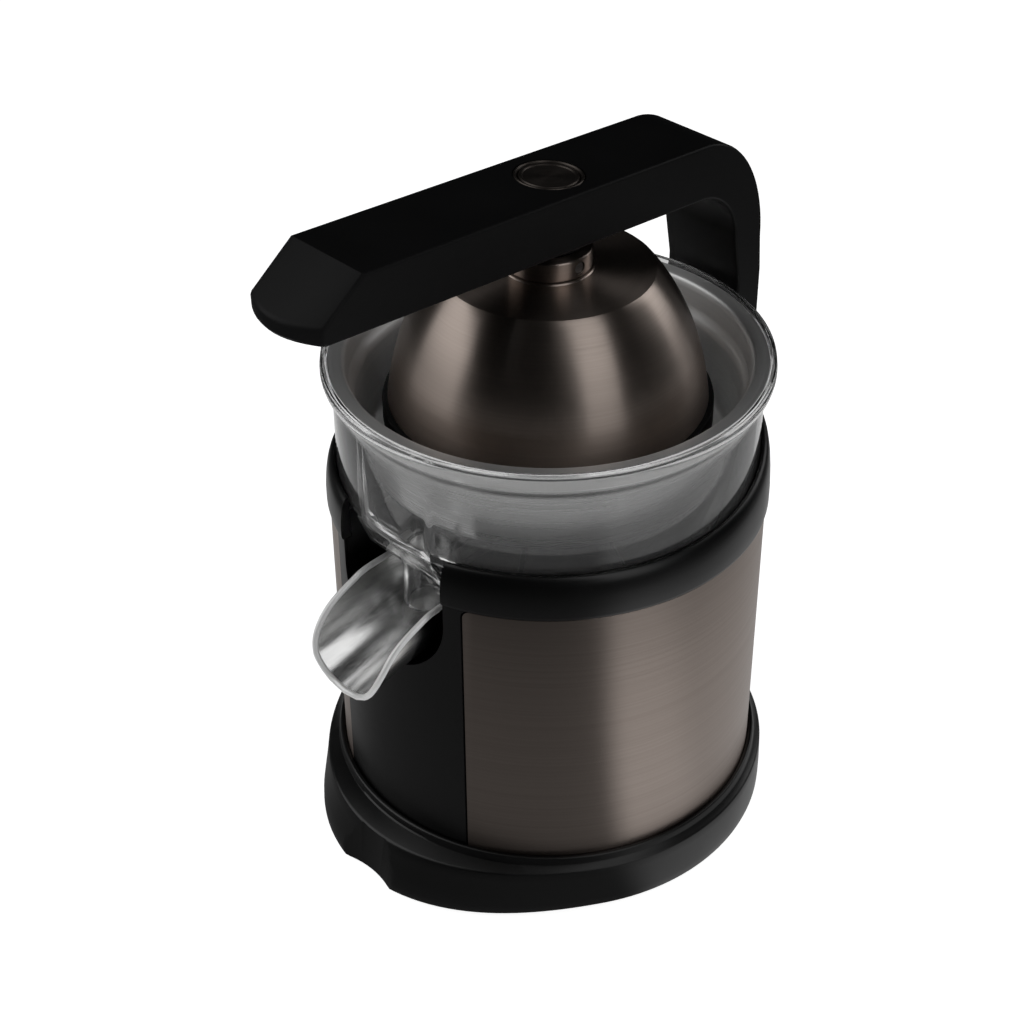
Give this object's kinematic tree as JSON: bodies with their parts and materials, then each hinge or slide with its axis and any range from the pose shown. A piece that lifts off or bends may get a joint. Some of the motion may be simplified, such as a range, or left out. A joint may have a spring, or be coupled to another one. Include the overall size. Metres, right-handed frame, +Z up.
{
  "type": "citrus press juicer",
  "caption": "Electric citrus press: a hinged lever arm presses a dome onto a motor-driven reamer cone in a strainer bowl, and juice runs out of a tilting spout.",
  "frame": {"origin": "middle of the overall box on the worktop plane, between nose of the arm and its hinge leg", "axes": "+Z up, -Y towards the spout and the arm's nose, +X to the right seen from the front turned half round"},
  "size_m": [0.1712, 0.2116, 0.2682],
  "materials": {
    "satin_black": "satin black moulding",
    "matte_black": "matt black moulding",
    "bronze_steel": "brushed, bronze tinted",
    "steel": "bright stainless",
    "polished_steel": "polished stainless",
    "clear_plastic": "clear, slightly grey",
    "rubber": "matt",
    "nylon": "natural nylon",
    "brass": "turned"
  },
  "bodies": {
    "stand": {"base_plate": "matte_black", "base_ring": "satin_black", "base_screw_1": "steel", "base_screw_2": "steel", "base_screw_3": "steel", "base_screw_4": "steel", "cord_gland": "rubber", "foot_1": "rubber", "foot_2": "rubber", "foot_3": "rubber", "foot_4": "rubber", "gear_plate": "matte_black", "gear_plate_screw_1": "steel", "gear_plate_screw_2": "steel", "gear_plate_screw_3": "steel", "hinge_pin": "steel", "hinge_spine": "satin_black", "housing": "matte_black", "idler_axle": "steel", "juice_bowl": "clear_plastic", "motor": "steel", "shaft_bush": "brass", "shaft_seal": "rubber", "spout_pin_left": "steel", "spout_pin_right": "steel", "spout_recess": "satin_black", "start_switch": "matte_black", "steel_wrap": "bronze_steel", "strainer": "steel", "switch_bracket": "steel", "top_frame": "satin_black"},
    "arm": {"lever_arm": "satin_black", "arm_underside": "satin_black", "button_trim": "bronze_steel", "dome_post": "matte_black", "tilt_pin": "steel", "button_spring": "steel"},
    "button": {"release_button": "bronze_steel"},
    "press_head": {"press_dome": "bronze_steel", "press_cup": "satin_black", "neck_ring": "bronze_steel"},
    "spout_trough": {"spout": "polished_steel"},
    "drive_gear": {"output_gear": "nylon", "shaft_spring": "steel"},
    "spindle": {"drive_shaft": "steel", "reamer_cone": "satin_black"},
    "idler": {"idler_gear": "nylon"},
    "rotor": {"motor_shaft": "steel", "motor_pinion": "brass"}
  },
  "joints": [
    {"name": "arm_lift", "type": "hinge", "parent": "stand", "child": "arm", "pos_m": [0, 0.0996, 0.178], "axis": [-1, 0, 0], "range_deg": [0, 95]},
    {"name": "dome_tilt", "type": "hinge", "parent": "arm", "child": "press_head", "pos_m": [0, 0.0122, 0.2328], "axis": [1, 0, 0], "range_deg": [-1.5, 1.5]},
    {"name": "button_press", "type": "slide", "parent": "arm", "child": "button", "axis": [0, -0.0645, -0.9979], "range_m": [0, 0.0025], "stiffness_N_per_m": 400, "springref_m": -0.001, "deforming": ["button_spring"]},
    {"name": "spout_tilt", "type": "hinge", "parent": "stand", "child": "spout_trough", "pos_m": [0, -0.0418, 0.117], "axis": [-1, 0, 0], "range_deg": [0, 16]},
    {"name": "drive_spin", "type": "hinge", "parent": "stand", "child": "drive_gear", "pos_m": [0, 0.0122, 0.11], "axis": [0, 0, 1], "continuous": true},
    {"name": "cone_press", "type": "slide", "parent": "drive_gear", "child": "spindle", "axis": [0, 0, -1], "range_m": [0, 0.0015], "stiffness_N_per_m": 3000, "springref_m": -0.001, "deforming": ["shaft_spring"]},
    {"name": "idler_spin", "type": "hinge", "parent": "stand", "child": "idler", "pos_m": [0, 0.0404, 0.105], "axis": [0, 0, 1], "continuous": true},
    {"name": "motor_spin", "type": "hinge", "parent": "stand", "child": "rotor", "pos_m": [0.0242, 0.0404, 0.1], "axis": [0, 0, 1], "continuous": true}
  ],
  "couplings": [
    {"joint": "idler_spin", "follows": "drive_spin", "ratio": -3},
    {"joint": "motor_spin", "follows": "drive_spin", "ratio": 9}
  ]
}
